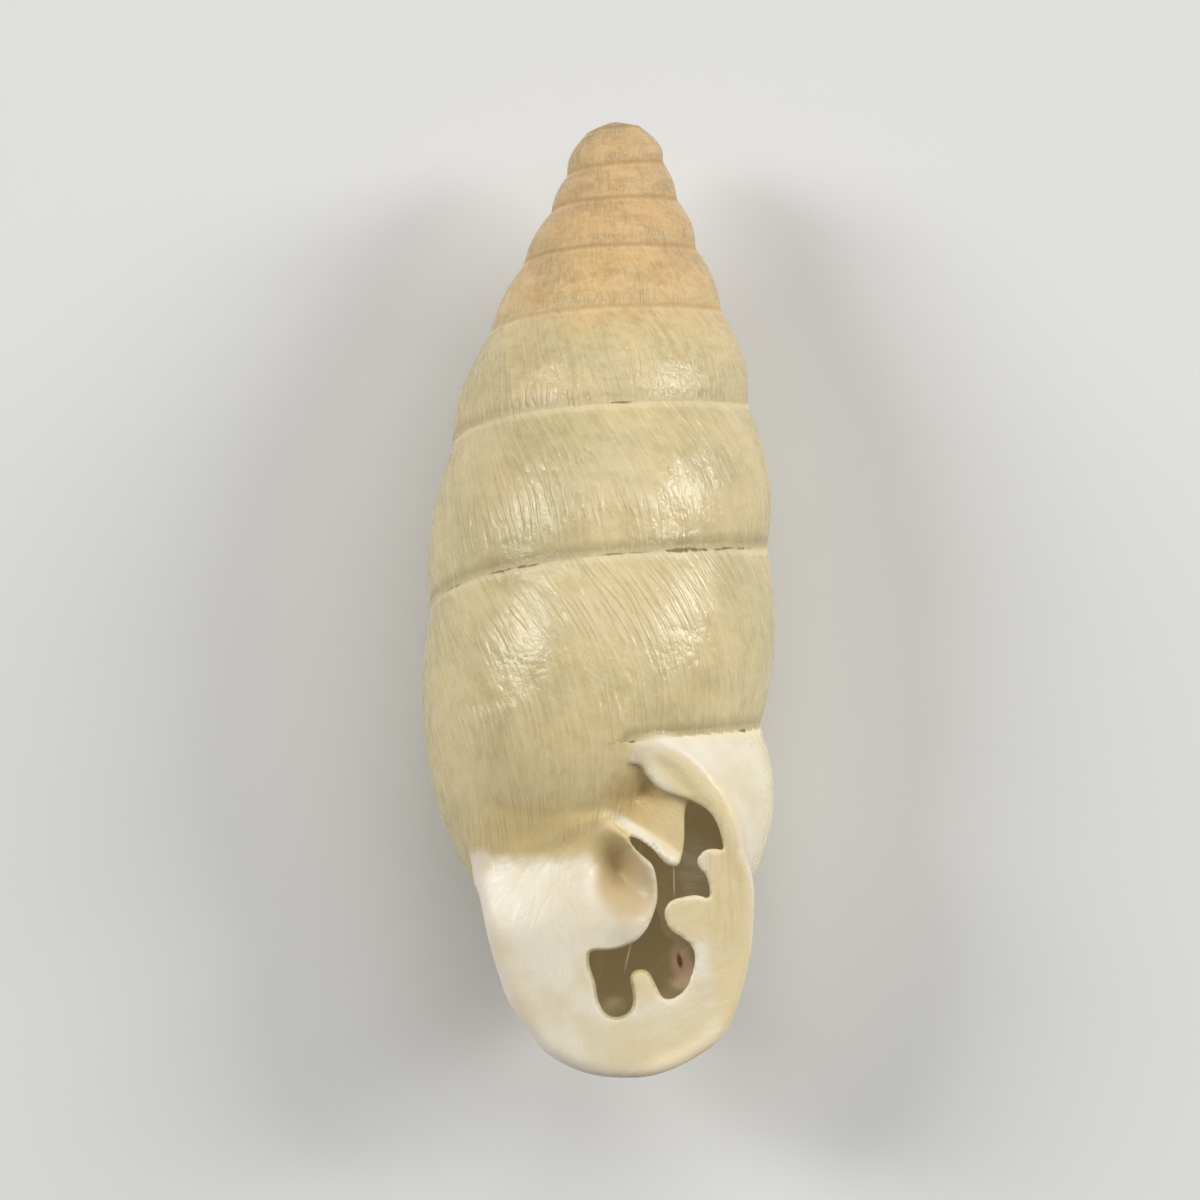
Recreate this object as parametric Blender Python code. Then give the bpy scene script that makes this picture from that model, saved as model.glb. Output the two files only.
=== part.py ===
"""Land snail shell lying on its back, mouth up: one closed solid in metres."""
from math import radians, cos, sin, pi

import bpy
import bmesh
import numpy as np

# Lengths below are in millimetres; the mesh is scaled to metres at the end.
MM = 0.001

# The shell's axis runs along Y with the tip at +Y and the mouth towards +Z.
# The picture plane is tipped from the axis by these two angles.
TIP_TILT = radians(8.0)
TIP_LEAN = radians(2.3)

# Suture line every half turn from the tip: height along the axis and radius,
# then how far the whorl that hangs below it bulges past the straight line.
FIRST_TURN = -1.0
HALF_TURN = 0.5
SUTURE_HEIGHT = np.array([
    12.88, 12.86, 12.80, 12.50, 11.88, 11.37, 10.87, 10.36, 9.57, 8.91,
    7.93, 6.96, 5.41, 3.96, 1.58, -0.50, -3.245, -5.80, -8.30, -10.9])
SUTURE_RADIUS = np.array([
    0.00, 0.24, 0.50, 0.86, 1.18, 1.31, 1.60, 1.70, 2.15, 2.38,
    2.89, 3.21, 3.71, 4.05, 4.37, 4.47, 4.37, 4.05, 3.75, 3.4])
WHORL_BULGE = np.array([
    0.02, 0.06, 0.24, 0.17, 0.10, 0.10, 0.16, 0.14, 0.16, 0.15,
    0.26, 0.29, 0.34, 0.32, 0.32, 0.35, 0.73, 0.70, 0.60, 0.50])
BASE_END = 1.71          # pitches below its suture where a whorl's base closes
BASE_LIFT = 1.0          # how much sooner it closes for each turn near the lip
LAST_WHORL = 7           # this whorl only reaches from the right side to the lip
LAST_WHORL_LEFT = 1.05   # and ends this far right of the axis

# Lip face in the picture plane: height, slope along it and sideways bend
LIP_LEVEL = 5.15
LIP_SLOPE = 0.098
LIP_BEND = 0.035
LIP_BEND_LEFT = 0.07
LIP_DISH = 0.10          # hollow of the face inside its raised outer rim
LIP_PLATE = 0.75         # thickness of the lip and its teeth
LIP_DRAW = 0.85          # how fast the flare draws in behind the lip
HOLE_ROUND = 0.06
WALL = 0.42              # shell wall
PILLAR = 0.55            # radius of the column the whorls wind round
CAVITY_FROM = 6.0        # turn where the hollow of the last whorl begins

GRID = 0.12              # spacing of the sampling grid
TRIANGLES = 9000
REST_DEPTH = 0.45        # how much the resting spot is worn flat
REST_WALL = -3.90        # height below which the hollow doesn't reach

# Outlines in the picture plane, right and up from the middle, in hundredths
# of a millimetre: the outer edge of the lip, then the toothed opening.
LIP_EDGE = [
    (107, -392), (179, -397), (240, -445), (280, -496), (315, -528),
    (333, -557), (349, -587), (363, -627), (376, -668), (395, -712),
    (406, -760), (406, -827), (400, -920), (384, -1000), (355, -1101),
    (315, -1168), (248, -1216), (181, -1248), (123, -1264), (53, -1269),
    (-13, -1264), (-80, -1243), (-147, -1203), (-203, -1136), (-248, -1061),
    (-283, -960), (-304, -880), (-320, -800), (-333, -752), (-328, -715),
    (-315, -670), (-275, -620), (-160, -600), (-53, -600), (40, -590),
    (60, -560), (60, -500), (80, -440)]
OPENING = [
    (245, -536), (288, -560), (312, -597), (325, -640), (327, -664),
    (309, -661), (280, -664), (261, -683), (259, -699), (267, -715),
    (280, -728), (288, -752), (291, -768), (289, -791),
    (256, -784), (219, -789), (192, -797), (176, -813), (171, -832),
    (176, -856), (189, -877), (216, -896), (240, -915),
    (251, -939), (251, -968), (240, -1005), (224, -1037), (192, -1059),
    (168, -1056),
    (155, -1037), (141, -1008), (128, -987), (107, -981), (88, -987),
    (80, -1005), (85, -1032), (88, -1059),
    (83, -1085), (61, -1104), (35, -1107), (11, -1093), (-5, -1061),
    (-11, -1024), (-19, -997), (-27, -973), (-29, -949), (-21, -933),
    (29, -931), (67, -920), (96, -904), (123, -875), (141, -837),
    (152, -797), (152, -760), (147, -725), (138, -702), (125, -689),
    (110, -676), (96, -663), (84, -648), (78, -634),
    (93, -631), (115, -643), (130, -654), (143, -665), (159, -684),
    (173, -699), (195, -709), (211, -699),
    (219, -672), (224, -629), (224, -592), (227, -555)]
# Shelf behind the upper fold, ending in the tooth on the inner wall
SHELF = [
    (107, -440), (123, -464), (149, -493), (173, -509), (205, -520),
    (229, -528), (245, -536), (258, -560), (245, -620), (238, -680),
    (224, -718), (197, -726), (170, -712), (150, -697), (134, -680),
    (118, -665), (100, -650), (84, -638), (55, -612), (20, -585),
    (-10, -530), (10, -480), (60, -440)]


def table(turn, values):
    """Smooth curve through values listed every half turn."""
    steps = np.clip((turn - FIRST_TURN) / HALF_TURN, 0, len(values) - 1.001)
    low = np.floor(steps).astype(int)
    f = steps - low
    last = len(values) - 1
    before, start, end, after = (
        values[np.clip(low + shift, 0, last)] for shift in (-1, 0, 1, 2))
    return 0.5 * (
        2 * start + (end - before) * f
        + (2 * before - 5 * start + 4 * end - after) * f ** 2
        + (3 * start - before - 3 * end + after) * f ** 3)


def blendMin(a, b, width):
    """Smaller of two distances with the crease rounded over a width."""
    share = np.clip(0.5 + 0.5 * (b - a) / width, 0, 1)
    return b + (a - b) * share - width * share * (1 - share)


def blendMax(a, b, width):
    return -blendMin(-a, -b, width)


def whorl(r, y, turn):
    """Distance to the whorl at a turn, taken as solid down to the axis."""
    top = table(turn, SUTURE_HEIGHT)
    pitch = top - table(turn + 1, SUTURE_HEIGHT)
    upper = table(turn, SUTURE_RADIUS)
    lower = table(turn + 1, SUTURE_RADIUS)
    bulge = 4 * table(turn, WHORL_BULGE)
    down = (top - y) / pitch
    t = np.clip(down, 0, 1)
    side = upper + (lower - upper) * t + bulge * t * (1 - t)
    slope = (lower - upper + bulge * (1 - 2 * t)) / pitch
    d = (r - side) / np.sqrt(1 + slope * slope)

    # below the side the base closes to the axis like half an egg
    reach = BASE_END - 1 - BASE_LIFT * np.clip(turn - LAST_WHORL, 0, 0.6)
    s = (down - 1) / reach
    c = np.clip(s, 0, 1)
    lean = (lower - upper - bulge) * reach / np.maximum(lower, 0.05)
    wide = np.maximum(lower, 0.05) * (1 + lean * c * (1 - 0.6 * c * c))
    shrink = lower * lean * (1 - 1.8 * c * c) * (s < 1)
    across = 2 * r / wide ** 2
    along = (2 * s - 2 * r * r * shrink / wide ** 3) / (reach * pitch)
    steep = np.maximum(np.hypot(across, along), 1 / wide)
    base = ((r / wide) ** 2 + s * s - 1) / steep
    d = np.where(down > 1, base, d)
    return np.maximum(d, -down * pitch)


def smoothLoop(points, steps=4):
    """Closed curve through the listed corners, in millimetres."""
    p = np.array(points, float) / 100
    f = np.linspace(0, 1, steps, endpoint=False)[None, :, None]
    before, start, end, after = (
        np.roll(p, -shift, axis=0)[:, None, :] for shift in (-1, 0, 1, 2))
    curve = 0.5 * (
        2 * start + (end - before) * f
        + (2 * before - 5 * start + 4 * end - after) * f ** 2
        + (3 * start - before - 3 * end + after) * f ** 3)
    return curve.reshape(-1, 2)


class FlatOutline:
    """Signed distance to a closed curve, looked up on a fine square grid."""
    STEP = 0.03

    def __init__(self, points, low=(-5.0, -14.5), high=(6.5, -2.5)):
        self.low = np.array(low)
        count = np.ceil((np.array(high) - self.low) / self.STEP).astype(int) + 1
        u = self.low[0] + self.STEP * np.arange(count[0])
        v = self.low[1] + self.STEP * np.arange(count[1])
        gu, gv = np.meshgrid(u, v, indexing="ij")
        a = smoothLoop(points)
        b = np.roll(a, -1, axis=0)
        near = np.full(gu.shape, 1e9)
        inside = np.zeros(gu.shape, bool)
        for (au, av), (bu, bv) in zip(a, b):
            du, dv = bu - au, bv - av
            t = np.clip(((gu - au) * du + (gv - av) * dv) / (du * du + dv * dv), 0, 1)
            near = np.minimum(near, (gu - au - t * du) ** 2 + (gv - av - t * dv) ** 2)
            crosses = (av > gv) != (bv > gv)
            if abs(dv) > 1e-9:
                inside ^= crosses & (gu < au + (gv - av) * du / dv)
        self.grid = np.sqrt(near) * np.where(inside, -1, 1)
        self.count = count

    def __call__(self, u, v):
        fu = np.clip((u - self.low[0]) / self.STEP, 0, self.count[0] - 1.001)
        fv = np.clip((v - self.low[1]) / self.STEP, 0, self.count[1] - 1.001)
        i, j = fu.astype(int), fv.astype(int)
        fu, fv = fu - i, fv - j
        g = self.grid
        return ((g[i, j] * (1 - fu) + g[i + 1, j] * fu) * (1 - fv)
                + (g[i, j + 1] * (1 - fu) + g[i + 1, j + 1] * fu) * fv)


lipEdge = FlatOutline(LIP_EDGE)
opening = FlatOutline(OPENING)
shelf = FlatOutline(SHELF)


def bump(u, v, centre, size, turn=0.0):
    """Smooth hill of height one, longer across or along, turned by degrees."""
    c, s = cos(radians(turn)), sin(radians(turn))
    du, dv = u - centre[0], v - centre[1]
    return np.exp(-((du * c + dv * s) / size[0]) ** 2 - ((dv * c - du * s) / size[1]) ** 2)


def smoothStep(x, low, high):
    t = np.clip((x - low) / (high - low), 0, 1)
    return t * t * (3 - 2 * t)


def pictureFrame(x, y, z):
    """Right, up and towards the eye for a point given on the shell's axes."""
    up = y * cos(TIP_TILT) + z * sin(TIP_TILT)
    near = -y * sin(TIP_TILT) + z * cos(TIP_TILT)
    return (x * cos(TIP_LEAN) + up * sin(TIP_LEAN),
            -x * sin(TIP_LEAN) + up * cos(TIP_LEAN), near)


def lipLevel(u, v):
    """Height of the lip before its folds: it bends back to the left, and its
    callus sinks to meet the wall of the whorl above it."""
    bend = np.where(u < 0, LIP_BEND_LEFT, LIP_BEND)
    left = np.maximum(0.6 - u, 0)
    sink = (0.2 + 0.25 * left) * smoothStep(v, -9.0, -5.6) * smoothStep(left, 0, 0.8)
    return LIP_LEVEL + LIP_SLOPE * v - bend * u * u - sink


def lipFace(u, v, level, edge):
    """The lip with its raised rim, the fold of the column and the pit above."""
    face = level - LIP_DISH * smoothStep(-edge, 0.1, 0.5) * smoothStep(u, 0.9, 1.9)
    face += 0.22 * bump(u, v, (0.80, -8.5), (0.60, 0.60), 20)
    face -= 0.80 * bump(u, v, (0.45, -7.10), (0.50, 0.68), 10)
    face -= 0.30 * bump(u, v, (0.82, -7.70), (0.48, 0.64), 20)
    return face


def shelfFace(u, v, level):
    """Shelf behind the upper fold, deepest in its corner, with a low crest."""
    face = level - 0.42
    face -= 0.22 * bump(u, v, (1.0, -5.0), (0.6, 0.45), -35)
    face += 0.28 * bump(u, v, (1.4, -6.6), (0.9, 0.2), -36)
    return face


def shellDistance(x, y, z):
    """Roughly the distance to the skin of the shell, negative inside it."""
    r = np.hypot(x, z)
    a = (np.arctan2(z, x) / (2 * pi)) % 1.0
    u, v, near = pictureFrame(x, y, z)
    edge = lipEdge(u, v)
    hole = opening(u, v)
    ledge = shelf(u, v)
    level = lipLevel(u, v)
    face = lipFace(u, v, level, edge)
    shelfTop = shelfFace(u, v, level)
    depth = level - near

    body = np.full(r.shape, 9.0)
    for index in range(-1, LAST_WHORL):
        body = np.minimum(body, whorl(r, y, index + a))
    final = whorl(r, y, LAST_WHORL + np.where(a < 0.27, a, 0.37 * (1 - a)))
    underside = smoothStep(-y, 7.2, 9.2)
    final = blendMax(final, LAST_WHORL_LEFT - 1.9 * underside - x, 0.2 + 0.8 * underside)
    backward = 0.02 + 0.7 * smoothStep(-y, 8.6, 10.4)
    final = blendMax(final, -backward - z, backward)

    # the lip flares: its outline draws in with depth behind the face
    inset = 0.10 * smoothStep(depth, 0.1, 0.5) + LIP_DRAW * np.maximum(depth - 0.35, 0)
    flare = (edge - 0.03 + inset) / 1.3
    mouth = blendMin(final, flare, 0.7)
    rim = 0.12 + 0.25 * smoothStep(-u, -2.2, 0.5)
    mouth = blendMax(mouth, near - face, rim)
    # the lip and the whorl above are cut back to the shelf under the upper fold
    mouth = blendMax(mouth, -np.maximum(ledge, shelfTop - near), 0.12)
    top = np.where(ledge < 0, shelfTop, face)
    zone = np.maximum(ledge, 2.1 - z)
    away = np.hypot((u - 1.55) / 1.5, np.maximum(v + 5.75, 0) / 1.45)
    cut = shelfTop + 0.9 * (1 - smoothStep(1 - away, 0, 0.6))
    body = blendMax(body, -np.maximum(zone, cut - near), 0.12)
    tooth = np.maximum(ledge, shelfTop - LIP_PLATE - 0.1 - near)
    tooth = blendMax(tooth, near - shelfTop + 0.3 * smoothStep(1.0 - u, 0, 0.6), 0.08)
    tooth = blendMax(tooth, 0.4 - u, 0.3)
    merge = 0.55 * smoothStep(-v, 4.9, 6.0) * smoothStep(-u, -1.4, -0.4)
    merge += 0.04 + 0.4 * smoothStep(-u, 1.5, 3)
    skin = blendMin(blendMin(body, mouth, merge), tooth, 0.2)

    # hollow of the last turn, then the throat behind the teeth
    lastTurn = np.where((a < 0.42) & (x > -0.4), LAST_WHORL + a, LAST_WHORL - 1 + a)
    hollow = whorl(r, y, lastTurn) + WALL
    hollow = blendMax(hollow, -whorl(r, y, lastTurn - 1), 0.5)
    hollow = blendMax(hollow, PILLAR - r, 0.4)
    hollow = np.maximum(hollow, (CAVITY_FROM - lastTurn) * 2 * pi * 2.5)
    hollow = np.maximum(hollow, np.where(lastTurn >= LAST_WHORL, -0.1 - x, -9.0))
    throat = blendMax(hole - 0.3, depth - 3.0, 0.4)
    hollow = blendMin(hollow, throat, 0.15)
    hollow = blendMax(hollow, LIP_PLATE + near - top, 0.1)
    hollow = blendMax(hollow, skin + 0.7 * WALL, 0.1)
    hollow = blendMax(hollow, REST_WALL - z, 0.3)
    slot = blendMax(hole, depth - 1.5, 0.2)
    return blendMax(skin, -np.minimum(hollow, slot), HOLE_ROUND)


def untangle(field):
    """Fill the samples where two skins would otherwise touch in one cell."""
    faces = [((0, 0, 0), (1, 1, 0), (1, 0, 0), (0, 1, 0)),
             ((0, 0, 0), (1, 0, 1), (1, 0, 0), (0, 0, 1)),
             ((0, 0, 0), (0, 1, 1), (0, 1, 0), (0, 0, 1))]
    across = [((0, 0, 0), (1, 1, 1)), ((1, 0, 0), (0, 1, 1)),
              ((0, 1, 0), (1, 0, 1)), ((0, 0, 1), (1, 1, 0))]
    size = np.array(field.shape) - 1

    def part(corner):
        return field[tuple(slice(c, c + n) for c, n in zip(corner, size))]

    for _ in range(40):
        filled = 0
        for a, b, c, d in faces:
            for p, q, r, s in ((a, b, c, d), (c, d, a, b)):
                mixed = (part(p) >= 0) & (part(q) >= 0) & (part(r) < 0) & (part(s) < 0)
                filled += mixed.sum()
                part(p)[mixed] = -1e-4
        amount = sum((part((i, j, k)) < 0).astype(int)
                     for i in (0, 1) for j in (0, 1) for k in (0, 1))
        for a, b in across:
            apart = (amount == 6) & (part(a) >= 0) & (part(b) >= 0)
            part(a)[apart] = -1e-4
            alone = (amount == 2) & (part(a) < 0) & (part(b) < 0)
            part(a)[alone] = 1e-4
            filled += apart.sum() + alone.sum()
        if not filled:
            break


def surfaceNet(low, high, step):
    """Closed skin where the distance is zero, one corner per crossed cell."""
    count = np.ceil((np.array(high) - low) / step).astype(int) + 1
    axes = [low[i] + step * np.arange(count[i]) for i in range(3)]
    field = np.empty(count)
    for i, x in enumerate(axes[0]):
        y, z = np.meshgrid(axes[1], axes[2], indexing="ij")
        field[i] = shellDistance(np.full(y.shape, x), y, z)
    untangle(field)
    inside = field < 0
    corners = [(i, j, k) for i in (0, 1) for j in (0, 1) for k in (0, 1)]
    cells = count - 1
    amount = np.zeros(cells, int)
    for i, j, k in corners:
        amount += inside[i:i + cells[0], j:j + cells[1], k:k + cells[2]]
    crossed = (amount > 0) & (amount < 8)
    where = np.argwhere(crossed)
    number = np.full(cells, -1)
    number[crossed] = np.arange(len(where))
    total = np.zeros((len(where), 3))
    hits = np.zeros(len(where))
    for first in corners:
        for axis in range(3):
            if first[axis]:
                continue
            second = list(first)
            second[axis] = 1
            a = field[tuple((where + first).T)]
            b = field[tuple((where + second).T)]
            cut = (a < 0) != (b < 0)
            share = np.where(cut, a / np.where(cut, a - b, 1), 0)
            point = np.array(first, float)[None, :] + np.zeros((len(where), 1))
            point[:, axis] = share
            total += point * cut[:, None]
            hits += cut
    points = np.array(low) + step * (where + total / hits[:, None])
    quads = []
    for axis in range(3):
        p, q = (axis + 1) % 3, (axis + 2) % 3
        ahead = [slice(None)] * 3
        behind = [slice(None)] * 3
        ahead[axis] = slice(1, None)
        behind[axis] = slice(None, -1)
        a, b = inside[tuple(behind)], inside[tuple(ahead)]
        edges = np.argwhere(a != b)
        out = a[tuple(edges.T)]
        ring = []
        for dp, dq in ((-1, -1), (0, -1), (0, 0), (-1, 0)):
            cell = edges.copy()
            cell[:, p] += dp
            cell[:, q] += dq
            ring.append(number[tuple(cell.T)])
        ring = np.array(ring).T
        quads.append(np.where(out[:, None], ring, ring[:, ::-1]))
    return points, np.concatenate(quads)


def mainPiece(points, quads):
    """The piece with the most corners; crumbs and bubbles are dropped."""
    label = np.arange(len(points))
    while True:
        lowest = label[quads].min(axis=1)
        following = label.copy()
        for side in range(4):
            np.minimum.at(following, quads[:, side], lowest)
        following = following[following]
        if (following == label).all():
            break
        label = following
    names, amounts = np.unique(label, return_counts=True)
    print("pieces:", sorted(amounts.tolist(), reverse=True)[:6])
    kept = label == names[amounts.argmax()]
    renumber = np.cumsum(kept) - 1
    return points[kept], renumber[quads[kept[quads[:, 0]]]]


def settle(points, step, rounds=3):
    """Move the corners onto the zero level along the slope of the distance."""
    for _ in range(rounds):
        e = 0.01
        d = shellDistance(*points.T)
        slope = np.empty(points.shape)
        for axis in range(3):
            shift = np.zeros(3)
            shift[axis] = e
            slope[:, axis] = (shellDistance(*(points + shift).T)
                              - shellDistance(*(points - shift).T)) / (2 * e)
        size = np.maximum((slope ** 2).sum(axis=1), 0.25)
        move = -d[:, None] * slope / size[:, None]
        length = np.linalg.norm(move, axis=1, keepdims=True)
        points = points + move * np.minimum(1, 0.4 * step / np.maximum(length, 1e-9))
    return points


def wornFlat(mesh, depth):
    """Cut the underside off level, leaving flat spots to rest on."""
    b = bmesh.new()
    b.from_mesh(mesh)
    bottom = min(v.co.z for v in b.verts) + depth
    geometry = list(b.verts) + list(b.edges) + list(b.faces)
    cut = bmesh.ops.bisect_plane(b, geom=geometry, plane_co=(0, 0, bottom),
                                 plane_no=(0, 0, -1), clear_outer=True, dist=1e-7)
    rim = [item for item in cut["geom_cut"] if isinstance(item, bmesh.types.BMEdge)]
    bmesh.ops.edgeloop_fill(b, edges=rim)
    bmesh.ops.triangulate(b, faces=list(b.faces))
    bmesh.ops.recalc_face_normals(b, faces=list(b.faces))
    b.to_mesh(mesh)
    b.free()


def main():
    for old in list(bpy.data.objects):
        bpy.data.objects.remove(old, do_unlink=True)

    points, quads = surfaceNet((-5.4, -14.2, -5.4), (5.6, 13.4, 5.2), GRID)
    points, quads = mainPiece(points, quads)
    points = settle(points, GRID)

    net = bpy.data.meshes.new("net")
    net.from_pydata((points * MM).tolist(), [], quads.tolist())
    net.update()
    source = bpy.data.objects.new("net", net)
    bpy.context.scene.collection.objects.link(source)
    thin = source.modifiers.new("thin", "DECIMATE")
    thin.ratio = TRIANGLES / (2 * len(quads))
    evaluated = source.evaluated_get(bpy.context.evaluated_depsgraph_get())
    mesh = bpy.data.meshes.new_from_object(evaluated)
    mesh.name = "shell"
    bpy.data.objects.remove(source, do_unlink=True)

    wornFlat(mesh, REST_DEPTH * MM)
    corners = np.array([v.co for v in mesh.vertices])
    low, high = corners.min(axis=0), corners.max(axis=0)
    shift = np.array([(low[0] + high[0]) / 2, (low[1] + high[1]) / 2, low[2]])
    for vertex, corner in zip(mesh.vertices, corners - shift):
        vertex.co = corner
    mesh.update()

    shell = bpy.data.objects.new("shell", mesh)
    bpy.context.scene.collection.objects.link(shell)

    material = bpy.data.materials.new("shell")
    material.use_nodes = True
    surface = material.node_tree.nodes["Principled BSDF"]
    surface.inputs["Base Color"].default_value = (0.72, 0.58, 0.36, 1)
    surface.inputs["Roughness"].default_value = 0.35
    mesh.materials.append(material)
    print("moved by, in millimetres:", (shift / MM).round(4).tolist())
    print("size in millimetres:", ((high - low) / MM).round(3).tolist())
    print("triangles:", len(mesh.polygons))


main()
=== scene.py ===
# Land snail shell on its back, mouth up, seen from above on a pale floor
from math import radians, cos, sin, pi
import bpy
import numpy as np
from mathutils import Matrix, Vector


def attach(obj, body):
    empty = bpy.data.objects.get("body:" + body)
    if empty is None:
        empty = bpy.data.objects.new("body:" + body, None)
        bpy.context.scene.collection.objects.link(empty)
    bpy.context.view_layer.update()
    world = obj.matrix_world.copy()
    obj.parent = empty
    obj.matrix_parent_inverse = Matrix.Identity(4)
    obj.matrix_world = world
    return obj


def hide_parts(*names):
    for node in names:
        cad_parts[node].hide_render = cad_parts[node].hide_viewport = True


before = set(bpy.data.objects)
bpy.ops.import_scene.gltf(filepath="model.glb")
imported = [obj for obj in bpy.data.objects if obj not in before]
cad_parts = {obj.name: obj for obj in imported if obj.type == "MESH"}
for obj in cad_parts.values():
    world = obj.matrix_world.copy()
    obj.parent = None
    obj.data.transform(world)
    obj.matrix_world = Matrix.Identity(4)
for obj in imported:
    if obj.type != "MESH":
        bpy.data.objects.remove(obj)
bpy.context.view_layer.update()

print("frame loaded")

mm = 0.001

# ---- what a user would change ----

# how the shell lies: its tip points along +Y, its mouth faces up
pose = {
    "middle": (0.0895, -0.0803, -4.3028),   # the model's middle, in its own millimetres
    "tilt": radians(8.0),                   # the picture plane tips back from the axis
    "lean": radians(2.3),                   # and the axis leans to the right in it
}

# whorls: one value every half turn from the tip, in millimetres
coil = {
    "firstTurn": -1.0,
    "sutureHeight": np.array([
        12.88, 12.86, 12.80, 12.50, 11.88, 11.37, 10.87, 10.36, 9.57, 8.91,
        7.93, 6.96, 5.41, 3.96, 1.58, -0.50, -3.245, -5.80, -8.30, -10.9]),
    "sutureRadius": np.array([
        0.00, 0.24, 0.50, 0.86, 1.18, 1.31, 1.60, 1.70, 2.15, 2.38,
        2.89, 3.21, 3.71, 4.05, 4.37, 4.47, 4.37, 4.05, 3.75, 3.4]),
    "bulge": np.array([
        0.02, 0.06, 0.24, 0.17, 0.10, 0.10, 0.16, 0.14, 0.16, 0.15,
        0.26, 0.29, 0.34, 0.32, 0.32, 0.35, 0.73, 0.70, 0.60, 0.50]),
    "baseEnd": 1.71,         # pitches below its suture where a whorl's base closes
    "baseLift": 1.0,         # how much sooner it closes towards the lip
    "fillet": 0.05,          # rounding in the seam between whorls
    "swell": 0.01035,        # the skin lies this far outside the measured whorls
    "lineRadius": 4.2,       # radius where turns are counted as millimetres of growth
    "lineLean": 0.74,        # how far growth lines lean below a seam
    "lineBend": -0.33,       # and how they straighten lower down
    "lastWhorl": 7,
    "lastGrown": 0.27,       # turns that the last whorl grows before it folds back
    "lastFold": 0.37,        # and how fast it does so round the back
    "lastLeft": 1.05,        # where it ends on the left, behind the lip
    "lastUnder": 1.9,        # how much further left it reaches on the underside
}

# lip: a dished plate in the picture plane
lip = {
    "level": 5.15,
    "slope": 0.098,
    "bendRight": 0.035,
    "bendLeft": 0.07,
    "dish": 0.10,
    "plate": 0.75,           # thickness of the lip and teeth
    "bead": 0.10,            # step inwards just behind the face
    "edge": 0.35,            # depth of the edge before the flare draws in
    "draw": 0.85,            # how fast it draws in behind that
    "round": 0.06,           # rounding round the opening
    # rises and hollows of its face: height, then place, size and turn
    "hills": [
        (0.22, (0.80, -8.5), (0.60, 0.60), 20),      # knob of the column
        (-0.80, (0.45, -7.10), (0.50, 0.68), 10),    # pit above it
        (-0.30, (0.82, -7.70), (0.48, 0.64), 20),    # and the pit's lower end
    ],
}

# upper fold: a shelf behind the lip's face, cut into the whorl above
upperFold = {
    "drop": 0.42,            # how far it lies behind the lip's face
    "lowest": 2.1,           # nothing is cut below this height
    "middle": (1.55, -5.75),
    "reach": (1.5, 1.45),    # right and up to where the cut has run out
    "rise": 0.9,             # how much shallower it is there
    "toothLeft": 0.4,
    "hills": [
        (-0.22, (1.0, -5.0), (0.6, 0.45), -35),      # hollow of the shelf
        (0.28, (1.4, -6.6), (0.9, 0.2), -36),        # low crest along its tooth
    ],
}

inside = {
    "wall": 0.42,
    "pillar": 0.55,
    "from": 6.0,             # turn where the hollow begins
    "radius": 2.5,           # rough radius of the hollow, to turn turns into length
    "floor": -3.90,          # height below which the hollow doesn't reach
    "throat": 3.0,           # depth of the throat behind the lip's face
    "slot": 1.5,             # depth to which the opening goes straight in
}

# samples: spacing, and each direction's whole range with its finer part
sampling = {
    "fine": 0.095,
    "coarse": 0.17,
    "quickFactor": 1.5,
    "ranges": [(-5.2, 5.3, -2.6, 4.2), (-13.8, 13.2, -12.8, -3.8), (-5.2, 5.1, 2.2, 4.8)],
    "group": 4,              # samples between two of the rough look
    "batch": 150000,         # samples worked out at a time
}

# outlines in the picture plane, right and up, in hundredths of a millimetre
outlines = {
    "lipEdge": [
        (107, -392), (179, -397), (240, -445), (280, -496), (315, -528),
        (333, -557), (349, -587), (363, -627), (376, -668), (395, -712),
        (406, -760), (406, -827), (400, -920), (384, -1000), (355, -1101),
        (315, -1168), (248, -1216), (181, -1248), (123, -1264), (53, -1269),
        (-13, -1264), (-80, -1243), (-147, -1203), (-203, -1136), (-248, -1061),
        (-283, -960), (-304, -880), (-320, -800), (-333, -752), (-328, -715),
        (-315, -670), (-275, -620), (-160, -600), (-53, -600), (40, -590),
        (60, -560), (60, -500), (80, -440)],
    "opening": [
        (245, -536), (288, -560), (312, -597), (325, -640), (327, -664),
        (309, -661), (280, -664), (261, -683), (259, -699), (267, -715),
        (280, -728), (288, -752), (291, -768), (289, -791),
        (256, -784), (219, -789), (192, -797), (176, -813), (171, -832),
        (176, -856), (189, -877), (216, -896), (240, -915),
        (251, -939), (251, -968), (240, -1005), (224, -1037), (192, -1059),
        (168, -1056),
        (155, -1037), (141, -1008), (128, -987), (107, -981), (88, -987),
        (80, -1005), (85, -1032), (88, -1059),
        (83, -1085), (61, -1104), (35, -1107), (11, -1093), (-5, -1061),
        (-11, -1024), (-19, -997), (-27, -973), (-29, -949), (-21, -933),
        (29, -931), (67, -920), (96, -904), (123, -875), (141, -837),
        (152, -797), (152, -760), (147, -725), (138, -702), (125, -689),
        (110, -676), (96, -663), (84, -648), (78, -634),
        (93, -631), (115, -643), (130, -654), (143, -665), (159, -684),
        (173, -699), (195, -709), (211, -699),
        (219, -672), (224, -629), (224, -592), (227, -555)],
    "shelf": [
        (107, -440), (123, -464), (149, -493), (173, -509), (205, -520),
        (229, -528), (245, -536), (258, -560), (245, -620), (238, -680),
        (224, -718), (197, -726), (170, -712), (150, -697), (134, -680),
        (118, -665), (100, -650), (84, -638), (55, -612), (20, -585),
        (-10, -530), (10, -480), (60, -440)],
}


# ---- shape of the shell ----

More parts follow.
